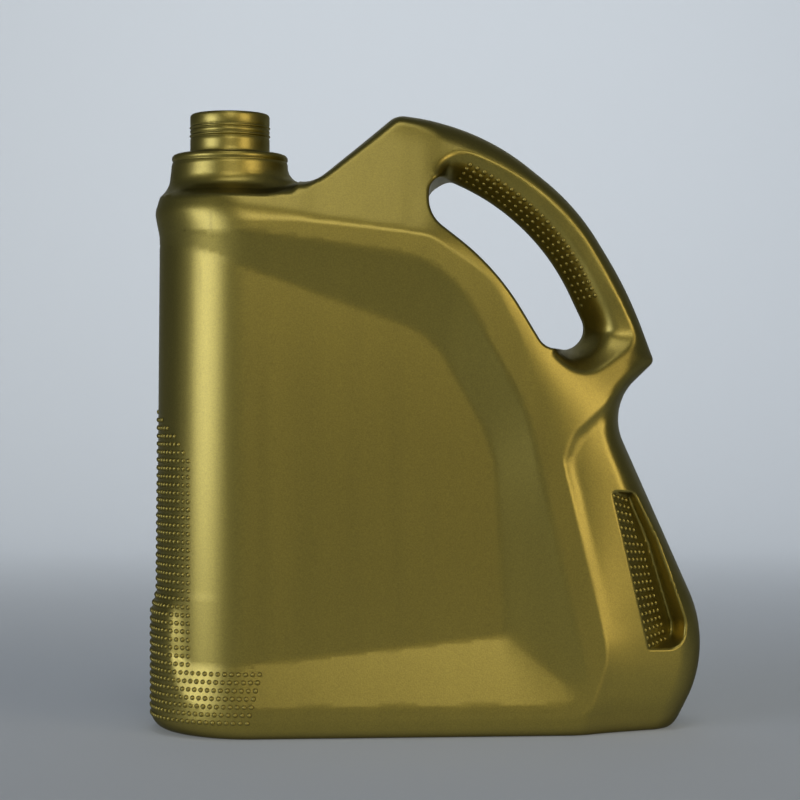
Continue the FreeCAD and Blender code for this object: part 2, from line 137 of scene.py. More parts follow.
jug = {
    "neckX": -92.4,                  # axis of the neck
    "seamZ": 264.0,                  # height where the turned collar takes over
    "seamRadius": 27.3,
    "footX": -128.7,                 # left end below the boot's step
    # lines on the parting plane: corners (x, z, rounding)
    "outline": [(-128.7, 0, 9), (-128.7, 56, 10), (-126.1, 65, 10), (-124.8, 230, 14),
                (-126.9, 241, 9), (-124.6, 248.5, 9), (-120.8, 255, 9), (-119.8, 264, 0),
                (-65.2, 264, 0), (-65.0, 256.8, 8), (-51.8, 255.3, 13), (-14.0, 287.7, 10),
                (23, 284.0, 110), (71.0, 245.1, 110), (95.2, 205.1, 200), (107.6, 171.9, 3.5),
                (85.4, 150.8, 25), (135.2, 39.0, 60), (116.8, 0, 10)],
    "hole": [(1.1, 238, 16), (1.1, 261.7, 8), (51.3, 238.4, 105), (80.0, 177.4, 10),
             (54.0, 177.4, 9), (31.9, 213.9, 120)],
    "rim": [(6, 240, 14), (1.6, 276.4, 14), (62.6, 251.9, 105), (100.2, 181.0, 9), (72, 163.8, 14),
            (57.2, 175.6, 2), (60, 183), (38, 216.5, 110)],
    "ridge": [(-140, 233.2), (-90, 234.0, 60), (-58, 234.0, 60), (-34, 231.8, 60), (-12, 229.5, 40),
              (2, 227.5, 20), (29, 208, 30), (41, 184, 60), (54, 149.5, 60), (64, 115, 60), (82.6, 36, 30),
              (72.5, 8.9, 10), (-140, 8.9)],
    "shelf": [(-140, 250.2), (-74, 250.0, 40), (-64, 252.4, 14), (-56.5, 256.6)],
    "frameEdge": [(-140, 66), (-128.8, 58, 8), (-124.5, 40, 20), (-116, 24, 24), (-103, 14.5, 26),
                  (76, 14.5, 12), (46, 148, 80), (9, 217.5, 45), (-86, 230.5, 60), (-140, 232.5)],
    "fieldEdge": [(-140, 72), (-127.5, 66, 8), (-123.5, 50, 16), (-116, 37.5, 12), (-104, 32.6, 12),
                  (-60, 36.6), (36, 46.5, 4), (31, 133, 60), (3, 184, 40), (-100, 221, 60),
                  (-140, 229)],
    "crease": [(107.6, 172.4), (95.4, 161.6, 16), (80.5, 150.8, 40), (67, 138.6, 12), (62.2, 126, 6),
               (61.4, 118)],
    "grip": [(84.3, 112.4, 2), (95.6, 112.0, 4), (107, 90.5, 40), (120.6, 51, 12), (119.2, 38.4, 8),
             (101.9, 38.9, 1.5)],
    # sides seen from above: half depth at the left end, taper, radius of the end
    "band": (53.5, 0.08, 44.0),      # the raised band round the panel
    "field": (51.8, 0.1087, 42.0),   # the sunk panel
    "fieldEnd": -126.3,
    "bootStep": (43.0, 23.0),        # where the step round the left end starts, and its height
    "webLean": 0.5,                  # how far the web leans back for each step up
    "barHalf": 15.5,                 # half thickness of the handle and of the web's edge
    # half thickness of the hip's outer edge, and how hollow its side is, by height
    "hip": [(0, 15), (40, 17.5), (70, 23), (100, 29), (125, 31), (148, 31), (160, 26), (173, 17),
            (178, 15.5)],
    "hollow": [(45, 1.0), (100, 1.9), (140, 2.2), (165, 1.8), (190, 1.35), (225, 1.25), (260, 1.0)],
    "blendHeight": 9.0,              # over which those two change
    "creaseStep": 1.8,               # how far the hip steps back under the handle's foot
    "creaseReach": 48.0,             # how far below the crease the step fades out
    "gripSlope": 0.95,               # of the dotted floor
    "gripWall": 2.6,                 # of the wall facing it
    # roundings: (x or z, reach)
    "ridgeRound": [(0, 3.0), (30, 1.8)],
    "shoulderRound": [(-110, 12.0), (-80, 10.0), (-50, 5.0), (0, 3.0)],
    "webRound": [(-66, 6.5), (-56, 6.0), (-50, 3.6), (-16, 4.5), (-4, 6.0), (8, 7.5)],
    "hipRound": [(0, 11), (40, 12.5), (110, 12), (150, 9), (165, 6.5), (172, 7)],
    "shelfRound": [(-90, 2.2), (-76, 3.2), (-66, 4.6), (-57, 6.0)],
    "barRound": (6.0, 10.5),         # least and most
    "edgeRound": 0.9,                # of the tank's side of the finger hole
    "holeFlare": [(0, 0.03), (0.18, 0.31), (0.34, 0.54), (0.48, 0.69), (0.6, 0.78), (0.72, 0.84),
                  (0.82, 0.895), (0.9, 0.945), (0.96, 0.985), (1, 1)],
    "endFlat": 5.9,                  # half width of the flat strip down the left end
    "baseRound": (9.6, 9.0),         # height of the base's rounding, and how much more at the right
    "baseTuck": (8.0, 2.5),          # how far it draws the walls in
    "basePush": 2.0,                 # how far the base is pushed up
    # the collar's foot: half depth, and its reach to the right of the axis, by height
    "collarDeep": [(249.6, 37.5), (250.4, 35.6), (251.5, 33.0), (253, 30.4), (254.5, 28.8), (256, 27.9),
                   (258, 27.45), (264, 27.3)],
    "collarRight": [(249.6, 38.0), (253, 36.6), (255.2, 35.2), (255.9, 33.8), (256.3, 32.6), (257.3, 30.6),
                    (258.1, 29.6), (260.1, 28.1), (262.5, 27.4), (264, 27.3)],
    "footZ": 249.6,                  # where the collar's foot ends on the shoulder
    "endMean": -126.0,               # the left end without its bumps
    "ridgeLow": 9.4,                 # below this height the sides no longer follow the ridge
    "edgeMix": 16.0,                 # over which the handle's outer edge passes into the hip's
    "webMix": 9.0,                   # over which the web passes into the handle's thickness
    "gripMix": 0.4,                  # over which the grip's floor passes into its far wall
    "holeMix": 9.0,                  # width of the handle's side that gets the whole flare
    # where one shape gives way to the next: start and length, in x unless it says height
    "fades": {
        "bumps": (-112, 40),         # bumps of the left end
        "step": (-122, 13),          # the boot's level step
        "endField": (-121, 10),      # sunk panel's own end line
        "handle": (-8, 30),          # web to handle
        "barAcross": (2, 10),        # handle's roundings
        "barHeight": (166, 8),
        "endLimit": (-119, 16),      # roundness of the left end
        "baseRight": (62, 24),       # larger rounding of the base
    },
}

outline = roundedLine(jug["outline"], True, 2.0)
hole = roundedLine(jug["hole"], True, 1.6)
rim = roundedLine(jug["rim"], True, 1.6)
ridge = roundedLine(jug["ridge"], False, 1.8)
frameEdge = roundedLine(jug["frameEdge"], False, 1.8)
fieldEdge = roundedLine(jug["fieldEdge"], False, 1.8)
crease = roundedLine(jug["crease"], False, 1.6)
shelf = roundedLine(jug["shelf"], False, 1.5)
grip = roundedLine(jug["grip"], True, 1.5)
gripRound = roundedLine(jug["grip"], False, 1.5)
gripLeft = np.array([c[:2] for c in jug["grip"]], float)[[0, -1]]

# stretches of those lines that sizes are measured from; some run on below the base
below = -60.0
handleFootZ = 171.9
ridgeTop = ridge[(ridge[:, 0] < 30) & (ridge[:, 1] > 200)]
leftSide = outline[outline[:, 0] < -110]
leftSide = leftSide[np.argsort(leftSide[:, 1])]
leftWall = np.vstack([[(jug["footX"], below)], leftSide[leftSide[:, 1] > 12]])
outerSide = outline[(outline[:, 0] > -65.3) & (outline[:, 1] > 17)]
backSide = outerSide[(outerSide[:, 0] > -12) & (outerSide[:, 1] > handleFootZ)]
hipSide = outerSide[(outerSide[:, 1] < handleFootZ) & (outerSide[:, 0] > 0)]
hipSide = np.vstack([hipSide, [(90.0, below)]])
leftUp = leftSide[(leftSide[:, 1] > 15) & (leftSide[:, 1] < jug["footZ"])]
bodyOutline = np.vstack([[(jug["footX"], below)], leftUp, [(-126.0, 268.0), (-66.0, 268.0)],
                         outerSide, [(90.0, below)]])
overShelf = np.vstack([shelf, [(-62, 300), (-140, 300)]])
underCrease = np.vstack([crease, [[40, 100], [40, -40], [200, -40], [200, 172]]])


def planHalf(x, endX, half, slope, radius):
    # half depth seen from above: a straight side that closes in, and a round end
    lean = math.sqrt(1 + slope ** 2)
    centreX = endX + radius
    centreY = half - slope * radius - radius * lean
    tangentX = centreX + radius * slope / lean
    arc = centreY + np.sqrt(np.maximum(radius ** 2 - (x - centreX) ** 2, 0))
    return np.where(x < tangentX, arc, half - slope * (x - endX))


def collarHalf(x, z):
    # the collar is round at the top and flares to an oval where it meets the shoulder
    deep = through(jug["collarDeep"], z)
    left = jug["neckX"] - np.interp(z, leftSide[:, 1], leftSide[:, 0])
    right = through(jug["collarRight"], z)
    dx = x - jug["neckX"]
    wide = np.where(dx < 0, left, right)
    return deep * np.sqrt(np.maximum(1 - (dx / wide) ** 2, 0))


def smoothMax(a, b, width):
    h = np.maximum(width - np.abs(a - b), 0) / width
    return np.maximum(a, b) + h * h * width / 4


def smoothMin(a, b, width):
    return -smoothMax(-a, -b, width)


def rounded(distance, soft):
    # a straight slope away from a line, eased in over a short way
    return np.where(distance < soft, distance ** 2 / (2 * soft), distance - soft / 2)


def quarterRound(q):
    return np.sqrt(np.maximum(1 - (1 - q) ** 2, 0))


def endLine(x, z):
    # where the left end is at a height; its bumps do not carry on along the wall
    endX = np.interp(z, leftSide[:, 1], leftSide[:, 0])
    along = fade("bumps", x)
    return endX * (1 - along) + jug["endMean"] * along


def innerHalf(p):
    # the band inside the ridge, the slope, and the sunk field
    x, z = p[:, 0], p[:, 1]
    endX = endLine(x, z)
    toFrame = distanceTo(p, frameEdge)
    toField = distanceTo(p, fieldEdge)
    w = np.where(inside(p, frameEdge), toFrame / np.maximum(toFrame + toField, 1e-6), 0.0)
    w = np.where(inside(p, fieldEdge), 1.0, w)
    # round the left end the boot's step runs level
    stepStart, stepHeight = jug["bootStep"]
    atEnd = (1 - fade("step", x)) * (z < 120)
    w = w * (1 - atEnd) + ease((z - stepStart) / stepHeight) * atEnd
    band = planHalf(x, endX, *jug["band"])
    onEnd = 1 - fade("endField", x)
    fieldX = endX * onEnd + np.maximum(endX, jug["fieldEnd"]) * (1 - onEnd)
    field = planHalf(x, fieldX, *jug["field"])
    return band, band * (1 - w) + field * w


def faceHalf(p):
    # half thickness of the face, before the outer edges and the finger hole round it off
    x, z = p[:, 0], p[:, 1]
    band, inner = innerHalf(p)
    # outside the ridge the wall leans back to the outer edge
    raised = np.stack([x, np.maximum(z, jug["ridgeLow"])], 1)
    toRidge = distanceTo(raised, ridge)
    beyond = ~inside(raised, ridge)
    toEdge = smoothMin(distanceTo(raised, backSide), distanceTo(raised, hipSide), jug["edgeMix"])
    soft = through(jug["ridgeRound"], x)
    u = np.clip(rounded(toRidge, soft) / np.maximum(toRidge + np.maximum(toEdge, 0) - soft / 2, 0.1), 0, 1)
    hip = softly(jug["hip"], z, jug["blendHeight"])
    bar = np.where(x > 40, hip, jug["barHalf"])
    bend = softly(jug["hollow"], z, jug["blendHeight"])
    outer = band - (band - np.minimum(bar, band)) * u ** bend
    # the web and the shoulder are one plane, closed round the left end
    rise = np.maximum(z - np.interp(x, ridgeTop[:, 0], ridgeTop[:, 1]), 0)
    setBack = jug["webLean"] * rounded(rise, through(jug["shoulderRound"], x))
    depth, taper, radius = jug["band"]
    plane = planHalf(x, endLine(x, z), depth - setBack, taper, radius - setBack)
    thick = smoothMax(plane, np.full(len(x), jug["barHalf"]), jug["webMix"])
    plane = np.where(x > -60, thick, plane)
    onBar = fade("handle", x)
    outer = np.where(z > 200, plane * (1 - onBar) + outer * onBar, outer)
    return np.where(beyond, outer, inner)


def creaseDrop(p):
    # the hip steps back under the crease at the foot of the handle
    gap = distanceTo(p, crease)
    toRidge = distanceTo(p, ridge)
    fade = np.exp(-(gap / jug["creaseReach"]) ** 1.5) * ease(toRidge / 5.5)
    under = inside(p, underCrease) & ~inside(p, ridge)
    return np.where(under, jug["creaseStep"] * ease(gap / 3.4) * fade, 0.0)


def gripDrop(p):
    # the dotted floor of the finger grip slopes in from its left edge to a steep far wall
    left = distanceTo(p, gripLeft)
    other = distanceTo(p, gripRound)
    floor = jug["gripSlope"] * np.maximum(left - 0.4, 0) + 0.5 * ease(left / 0.8)
    wall = jug["gripWall"] * np.maximum(other - 0.35, 0) + 0.5 * ease(other / 0.7)
    depth = smoothMin(floor, wall, jug["gripMix"])
    return np.where(inside(p, grip), np.maximum(depth, 0), 0.0)


def roundEdges(p, half):
    # outer edges are rounded over a reach that changes round the jug
    x, z = p[:, 0], p[:, 1]
    toOut = distanceTo(p, bodyOutline, True)
    toRim = distanceTo(p, rim, True)
    onBar = fade("barAcross", x) * fade("barHeight", z)
    reach = np.where(x > 40, through(jug["hipRound"], z), softly(jug["webRound"], x, 2.0))
    reach = reach * (1 - onBar) + np.clip(toOut + toRim, *jug["barRound"]) * onBar
    q = np.clip(toOut / reach, 0, 1)
    q = np.where(x > -80, q, 1.0)
    onShelf = np.clip(distanceTo(p, shelf) / through(jug["shelfRound"], x), 0, 1)
    q = np.where(x < -60, np.minimum(q, onShelf), q)
    lean = 0.06 * onBar
    half = half * ((1 - lean) * quarterRound(q) + lean * q)
    return np.where(inside(p, overShelf), 0.0, half)


def openHole(p, half):
    # finger hole: the handle's side flares from the parting plane to the rim
    toHole = distanceTo(p, hole, True)
    toRim = distanceTo(p, rim, True)
    across = toHole + toRim
    flare = through(jug["holeFlare"], toHole / np.maximum(across, 1e-6))
    inRim = inside(p, rim) & (toRim > 1e-4)
    half = np.where(inRim, half * (1 - (1 - flare) * ease(across / jug["holeMix"])), half)
    r = jug["edgeRound"]
    d = np.clip(toHole, 0, r)
    return np.where(toHole < r, half - r + np.sqrt(np.maximum(r * r - (r - d) ** 2, 0)), half)


def halfThickness(p):
    # half thickness of the whole jug at points (x, z) of the parting plane
    x, z = p[:, 0], p[:, 1]
    half = openHole(p, roundEdges(p, faceHalf(p) - creaseDrop(p) - gripDrop(p)))
    # the left end is as round beside the boot's step as it is above and below
    radius = jug["band"][2]
    toLeft = np.minimum(distanceTo(p, leftWall), radius)
    limit = jug["endFlat"] + np.sqrt(radius ** 2 - (radius - toLeft) ** 2) + 4.0 * fade("endLimit", x)
    half = np.where(x < -100, np.minimum(half, limit), half)
    # base
    atRight = fade("baseRight", x)
    b = jug["baseRound"][0] + jug["baseRound"][1] * atRight
    tuck = jug["baseTuck"][0] + jug["baseTuck"][1] * atRight
    half = np.where(z < b, half - tuck + tuck * quarterRound(np.clip(z, 0, b) / b), half)
    # collar
    near = (z > 236) & (x < -30)
    foot = collarHalf(x, np.maximum(z, jug["footZ"]))
    width = through([(-84, 0.6), (-70, 5.0)], x) * np.clip(np.minimum(half, foot) / 6, 0, 1) + 0.01
    half = np.where(near, smoothMax(half, foot, width), half)
    return np.maximum(half, 0.0)


grid = {
    "spacing": 1.9,                  # size of the triangles
    "clear": 0.55,                   # least distance between points of different rows
    "tight": 0.1,                    # the same where the wall turns fast
    "seamTurns": 64,                 # steps round the front half of the collar's seam
    # how far rows of points lie from the outer edge, the finger hole, other lines and the grip
    "edgeRows": [0.12, 0.45, 1.0, 1.75, 2.7, 3.9, 5.3, 7.0],
    "holeRows": [0.35, 0.9, 1.5, 2.6],
    "lineRows": [-2.3, -1.3, -0.6, 0.6, 1.3, 2.3],
    "gripRows": [0.8, 0.6],
    # degrees round the left end where its level rows have points
    "endTurns": [4, 7.5, 11, 14.5, 18, 21.5, 25, 28.5, 32, 35.5, 39, 42.5, 46, 50],
    "gripLevels": (39.6, 112.0, 1.15),   # lowest, highest and step
    "gripAcross": [0.06, 0.16, 0.27, 0.38, 0.5, 0.6, 0.84, 0.9, 0.95],
    "collarLevels": (240, 263.6, 1.3),
    "collarRadius": 27.6,
    "collarTurns": 56,
}


def sideways(line, closed):
    # directions square to a line, to its left
    tangent = np.roll(line, -1, axis=0) - np.roll(line, 1, axis=0) if closed else np.gradient(line, axis=0)
    tangent = tangent / np.linalg.norm(tangent, axis=1)[:, None]
    return np.stack([-tangent[:, 1], tangent[:, 0]], 1)


def rowsBeside(line, distances):
    # rows of points on both sides of a closed line
    normal = sideways(line, True)
    return np.vstack([line + side * normal * d for d in distances for side in (-1, 1)])


def drawBorder():
    # the outer edge, with a level seam in place of the collar
    neckX, seamZ, radius = jug["neckX"], jug["seamZ"], jug["seamRadius"]
    turns = grid["seamTurns"]
    seam = [(neckX - radius * math.cos(math.pi * k / turns), seamZ) for k in range(turns + 1)]
    first, last = (int(np.hypot(outline[:, 0] - x, outline[:, 1] - seamZ).argmin())
                   for x in (neckX - radius, neckX + radius))
    return np.vstack([outline[:first], seam, outline[last + 1:]])


def runsInside(line, border, margin):
    # the stretches of a line that are clear of the outer edge and the finger hole
    ok = inside(line, border) & (distanceTo(line, border, True) > margin)
    ok &= ~inside(line, hole) & (distanceTo(line, hole, True) > margin * 0.8)
    runs, run = [], []
    for point, good in zip(line, ok):
        if good:
            run.append(point)
        elif run:
            runs.append(np.array(run))
            run = []
    if run:
        runs.append(np.array(run))
    return [r for r in runs if len(r) > 1]


def freePoints(border):
    # rows that follow the shape, then an even grid, each with how clear it stays of what came before
    groups = []

    def add(points, clear=grid["clear"]):
        points = points[inside(points, border) & ~inside(points, hole)]
        if len(points):
            ok = (distanceTo(points, border, True) > 0.1) & (distanceTo(points, hole, True) > 0.3)
            groups.append((points[ok], clear))

    # beside the outer edge; a point that lies nearer the edge than its own row is dropped
    ring = rowsBeside(border, grid["edgeRows"])
    ring = ring[(ring[:, 0] > -112) | (ring[:, 1] < 14) | (ring[:, 1] > 244)]
    off = np.abs(distanceTo(ring, border, True)[:, None] - np.array(grid["edgeRows"])).min(1)
    add(ring[off < 0.06], grid["tight"])
    # level rows round the left end, each from a point of the edge
    levels = leftSide[(leftSide[:, 1] > 13) & (leftSide[:, 1] < 245)]
    inward = jug["band"][2] * (1 - np.cos(np.radians(grid["endTurns"])))
    add(np.vstack([[(endX + d, z) for d in inward] for endX, z in levels]), grid["tight"])
    add(rowsBeside(hole, grid["holeRows"]))
    for line in (ridge, crease, shelf, np.vstack([rim, rim[:1]])):
        for d in grid["lineRows"]:
            add(line + sideways(line, False) * d)
    turns = grid["collarTurns"]
    across = jug["neckX"] - grid["collarRadius"] * np.cos(np.pi * np.arange(1, turns) / turns)
    for z in np.arange(*grid["collarLevels"]):
        row = np.stack([across, np.full(len(across), z)], 1)
        add(row[distanceTo(row, shelf) > 2.9])
    for d in grid["gripRows"]:
        add(rowsBeside(grip, [d]))
    # level rows across the finger grip, with its deepest line first
    deepest = jug["gripWall"] / (jug["gripWall"] + jug["gripSlope"])
    for z in np.arange(*grid["gripLevels"]):
        start = np.interp(z, gripLeft[::-1, 1], gripLeft[::-1, 0])
        stop = grip[np.abs(grip[:, 1] - z) < 1.6][:, 0].max()
        parts = [deepest, deepest - 0.06, deepest + 0.05] + grid["gripAcross"]
        add(np.array([(start * (1 - f) + stop * f, z) for f in parts]))
    step = grid["spacing"]
    xs = np.arange(-130, 130, step)
    zs = np.arange(1.0, 288, step * 0.866)
    add(np.array([(x + step / 2 * (row % 2), z) for row, z in enumerate(zs) for x in xs]), step * 0.72)
    return groups


def spaceOut(fixed, groups):
    # the free points that are clear of the fixed ones and of each other, first come first kept
    taken = {}
    for x, z in fixed:
        taken.setdefault((int(x // 1), int(z // 1)), []).append((x, z))
    kept = []
    for points, clear in groups:
        span = int(math.ceil(clear))
        for x, z in points:
            i, j = int(x // 1), int(z // 1)
            around = (q for a in range(i - span, i + span + 1) for b in range(j - span, j + span + 1)
                      for q in taken.get((a, b), ()))
            if all((qx - x) ** 2 + (qz - z) ** 2 >= clear * clear for qx, qz in around):
                taken.setdefault((i, j), []).append((x, z))
                kept.append((x, z))
    return kept


def buildPlane():
    # triangles over the parting plane, with an edge along every line of the shape
    border = drawBorder()
    chains = []
    for line, margin in ((ridge, 0.5), (frameEdge, 0.5), (fieldEdge, 0.5), (crease, 1.0),
                         (np.vstack([rim, rim[:1]]), 0.8), (np.vstack([grip, grip[:1]]), 0.5), (shelf, 0.5)):
        chains += runsInside(line, border, margin)
    inner = spaceOut(np.vstack([border, hole] + chains), freePoints(border))
    coords, links = [], []
    for loop in (border, hole):
        base = len(coords)
        coords += [tuple(p) for p in loop]
        links += [(base + i, base + (i + 1) % len(loop)) for i in range(len(loop))]
    for run in chains:
        base = len(coords)
        coords += [tuple(p) for p in run]
        links += [(base + i, base + i + 1) for i in range(len(run) - 1)]
    coords += inner
    say(f"{len(coords)} points to join")
    found = delaunay_2d_cdt([Vector(c) for c in coords], links, [], 0, 1e-5, False)
    verts = np.array([tuple(v) for v in found[0]])
    tris = np.array([f for f in found[2]])
    middle = verts[tris].mean(1)
    turn = turnOf(verts, tris)
    tris = tris[inside(middle, border) & ~inside(middle, hole) & (np.abs(turn) > 1e-7)]
    say(f"{len(tris)} triangles over one half")
    return verts, tris, len(border) + len(hole)


def turnOf(verts, tris):
    # twice each triangle's area, above nought where it runs anticlockwise
    a, b, c = (verts[tris[:, k]] for k in range(3))
    return (b[:, 0] - a[:, 0]) * (c[:, 1] - a[:, 1]) - (b[:, 1] - a[:, 1]) * (c[:, 0] - a[:, 0])


def makeMesh(name, verts, faces):
    data = bpy.data.meshes.new(name)
    data.from_pydata([tuple(v) for v in verts], [], [tuple(int(i) for i in f) for f in faces])
    data.validate()
    data.update()
    data.polygons.foreach_set("use_smooth", [True] * len(data.polygons))
    piece = bpy.data.objects.new(name, data)
    bpy.context.scene.collection.objects.link(piece)
    return piece


def blend(half, verts, among, reach):
    # evens out the half thickness of some points with that of the places around them
    here = verts[among]
    total = 2 * half[among]
    for k in range(8):
        step = np.array([math.cos(k * math.pi / 4), math.sin(k * math.pi / 4)])
        total = total + halfThickness(here + step * np.asarray(reach)[among][:, None])
    half[among] = total / 10


def halfDepths(verts, onEdge):
    half = halfThickness(verts)
    room = np.minimum(distanceTo(verts, hole, True), distanceTo(verts, bodyOutline, True)) * 0.6
    nearRim = (distanceTo(verts, rim, True) < 5) | inside(verts, rim)
    nearCrease = (distanceTo(verts, crease) < 5) & (distanceTo(verts, ridge) > 1.5)
    nearShelf = (distanceTo(verts, shelf) < 2.5) & (verts[:, 0] > -118)
    blend(half, verts, ~onEdge & (room > 0.6) & (nearRim | nearCrease | nearShelf), np.minimum(room, 1.9))
    return half


def acrossThePlane(x, z, t):
    # points between the front and back halves at one place of the edge; the base is pushed up a little
    low = z < 1e-4
    steps = [t - 3.5, t - 6.5] if low else [t - 0.7]
    ys = [max(s, t * (0.6 - 0.2 * k)) for k, s in enumerate(steps)]
    ys = [-y for y in ys] + ys[::-1]
    return [(x, y, z + jug["basePush"] * (low and abs(y) < t - 4.5 and -121 < x < 107)) for y in ys]


def buildBody():
    verts, tris, edgeCount = buildPlane()
    count = len(verts)
    onEdge = np.arange(count) < edgeCount
    half = halfDepths(verts, onEdge)
    # front faces are seen from -Y
    front = np.where((turnOf(verts, tris) > 0)[:, None], tris, tris[:, ::-1])
    neckX, radius = jug["neckX"], jug["seamRadius"]
    atSeam = (np.abs(verts[:, 1] - jug["seamZ"]) < 1e-4) & (np.abs(verts[:, 0] - neckX) <= radius + 1e-3)
    half[atSeam] = np.sqrt(np.maximum(radius ** 2 - (verts[atSeam, 0] - neckX) ** 2, 0))
    # the two halves meet exactly, or stay clear of each other
    half = np.where(onEdge & (half < 0.15), 0.0, np.where(onEdge, half, np.maximum(half, 0.08)))
    points = [(x, -t, z) for (x, z), t in zip(verts, half)] + [(x, t, z) for (x, z), t in zip(verts, half)]
    faces = [tuple(f) for f in front] + [tuple(count + i for i in f[::-1]) for f in front]
    # edges with one triangle are the rims that the two halves share
    seen = {}
    for f in front:
        for i in range(3):
            p, q = int(f[i]), int(f[(i + 1) % 3])
            seen.setdefault((min(p, q), max(p, q)), []).append((p, q))
    ladder = {}

    def rungs(i):
        # numbers of the points from the front half to the back one
        if i not in ladder:
            between = acrossThePlane(*verts[i], half[i])
            ladder[i] = [i] + [len(points) + k for k in range(len(between))] + [count + i]
            points.extend(between)
        return ladder[i]

    for p, q in (pair[0] for pair in seen.values() if len(pair) == 1):
        if atSeam[p] and atSeam[q]:
            continue
        if half[p] < 0.02 and half[q] < 0.02:
            faces.append((q, p, count + p, count + q))
            continue
        lp, lq = rungs(p), rungs(q)
        if len(lp) == len(lq):
            faces += [(lq[k], lp[k], lp[k + 1], lq[k + 1]) for k in range(len(lp) - 1)]
        else:
            faces.append(tuple([lq[0]] + lp + lq[:0:-1]))
    say("halves joined")
    return points, faces, atSeam, verts, half


# collar, screw neck and the well under it, as radius and height
neck = {
    "profile": [(27.3, 264.0), (27.2, 264.9), (26.95, 265.45), (26.85, 265.7), (27.0, 266.0), (27.25, 266.6),
                (27.3, 267.3), (27.1, 268.1), (26.5, 268.8), (25.5, 269.2), (23.5, 269.4), (21.0, 269.5),
                (19.5, 269.7), (18.9, 270.1), (18.72, 270.7), (18.7, 272.5), (18.7, 275.0), (18.68, 276.6),
                (18.4, 277.05), (18.35, 277.2), (18.6, 277.45), (18.95, 277.8), (19.0, 278.05),
                (18.9, 278.35), (18.5, 278.65), (18.38, 278.85), (18.5, 279.05), (18.7, 279.4),
                (18.72, 280.0), (18.7, 280.6), (18.5, 280.9), (18.38, 281.1), (18.5, 281.3), (18.9, 281.6),
                (19.0, 281.85), (18.95, 282.15), (18.55, 282.45), (18.4, 282.65), (18.6, 282.9),
                (18.7, 283.2), (18.7, 285.2), (18.7, 286.9), (18.55, 287.6), (18.1, 288.15),
                (17.5, 288.38), (17.0, 288.4), (16.5, 288.3), (16.2, 287.9), (16.1, 287.2),
                (16.1, 282.0), (16.1, 276.0), (16.1, 270.0), (16.5, 268.2), (18.0, 267.0), (21.0, 266.4),
                (24.0, 265.2), (25.4, 263.0), (26.0, 258.0), (27.5, 252.0), (28.5, 240.0), (28.5, 180.0),
                (28.5, 90.0), (28.5, 12.0), (27.0, 6.5), (22.0, 4.6), (10.0, 4.2)],
}


def addNeck(points, faces, atSeam, verts, half):
    # turns the profile round the neck's axis, from the seam's own points
    count = len(verts)
    neckX = jug["neckX"]
    ring = []
    for i in (int(i) for i in np.nonzero(atSeam)[0]):
        x = verts[i][0] - neckX
        ring.append((math.atan2(-half[i], x), i))
        if half[i] > 0.02:
            ring.append((math.atan2(half[i], x), count + i))
    ring.sort()
    angles, last = zip(*ring)
    size = len(ring)
    for r, z in neck["profile"][1:]:
        row = range(len(points), len(points) + size)
        points += [(neckX + r * math.cos(a), r * math.sin(a), z) for a in angles]
        faces += [(last[k], last[(k + 1) % size], row[(k + 1) % size], row[k]) for k in range(size)]
        last = row
    points.append((neckX, 0.0, neck["profile"][-1][1]))
    faces += [(last[k], last[(k + 1) % size], len(points) - 1) for k in range(size)]


def buildJug():
    points, faces, atSeam, verts, half = buildBody()
    addNeck(points, faces, atSeam, verts, half)
    piece = makeMesh("jug_shell", np.array(points) * mm, faces)
    bm = bmesh.new()
    bm.from_mesh(piece.data)
    bmesh.ops.remove_doubles(bm, verts=bm.verts, dist=0.002 * mm)
    bmesh.ops.dissolve_degenerate(bm, dist=0.001 * mm, edges=bm.edges)
    bmesh.ops.recalc_face_normals(bm, faces=bm.faces)
    openEdges = sum(1 for e in bm.edges if not e.is_manifold)
    bm.to_mesh(piece.data)
    bm.free()
    piece.data.polygons.foreach_set("use_smooth", [True] * len(piece.data.polygons))
    say(f"jug shell: {len(piece.data.polygons)} faces, {openEdges} open edges")
    return piece


body = buildJug()


dots = {
    "radius": 1.2,
    "height": 0.78,
    "sink": 0.12,                    # how far a dot's widest ring sits under the wall
    "pitch": 3.2,                    # along a row
    "rows": 3.7,                     # from row to row
    "apart": 1.7,                    # least distance between two dots
    "endFront": -108.6,              # front boundary on the left end
    "endLow": 33.6,
    "endHigh": 127.5,
    "endArch": (24.0, 16.0),         # how much higher they reach at the parting plane, and over what length
    "bootFront": (-75.4, -80.9),     # front boundary of the boot's dots, at its top and bottom rows
    "bootRows": (30.0, 8.3, 7),      # heights of the top and bottom rows, and how many
    "gripRows": 20,
    "gripFirst": 1.1,                # from the grip's left edge
    "gripPitch": 2.1,
    "handleRows": 4,
    "handleFirst": 2.4,              # from the finger hole's edge
    "handleRow": 2.25,
    "handlePitch": 3.45,
    "seed": 5,
}


def roundTheEnd(startX, z, pitch):
    # places at even steps along the wall from startX round the left end to the parting plane
    endX = float(np.interp(z, leftSide[:, 1], leftSide[:, 0]))
    swing = np.linspace(0, math.pi / 2, 260)
    xs = startX + (endX - startX) * np.sin(swing)
    ts = halfThickness(np.stack([xs, np.full(len(xs), z)], 1))
    steps = np.hypot(np.diff(xs), np.diff(ts))
    far = np.concatenate([[0], np.cumsum(steps)])
    xs, ts, far = np.append(xs, endX), np.append(ts, 0.0), np.append(far, far[-1] + ts[-1])
    s = np.arange(0.0, far[-1] - 0.35 * pitch, pitch)
    return zip(s, np.interp(s, far, xs), np.interp(s, far, ts))


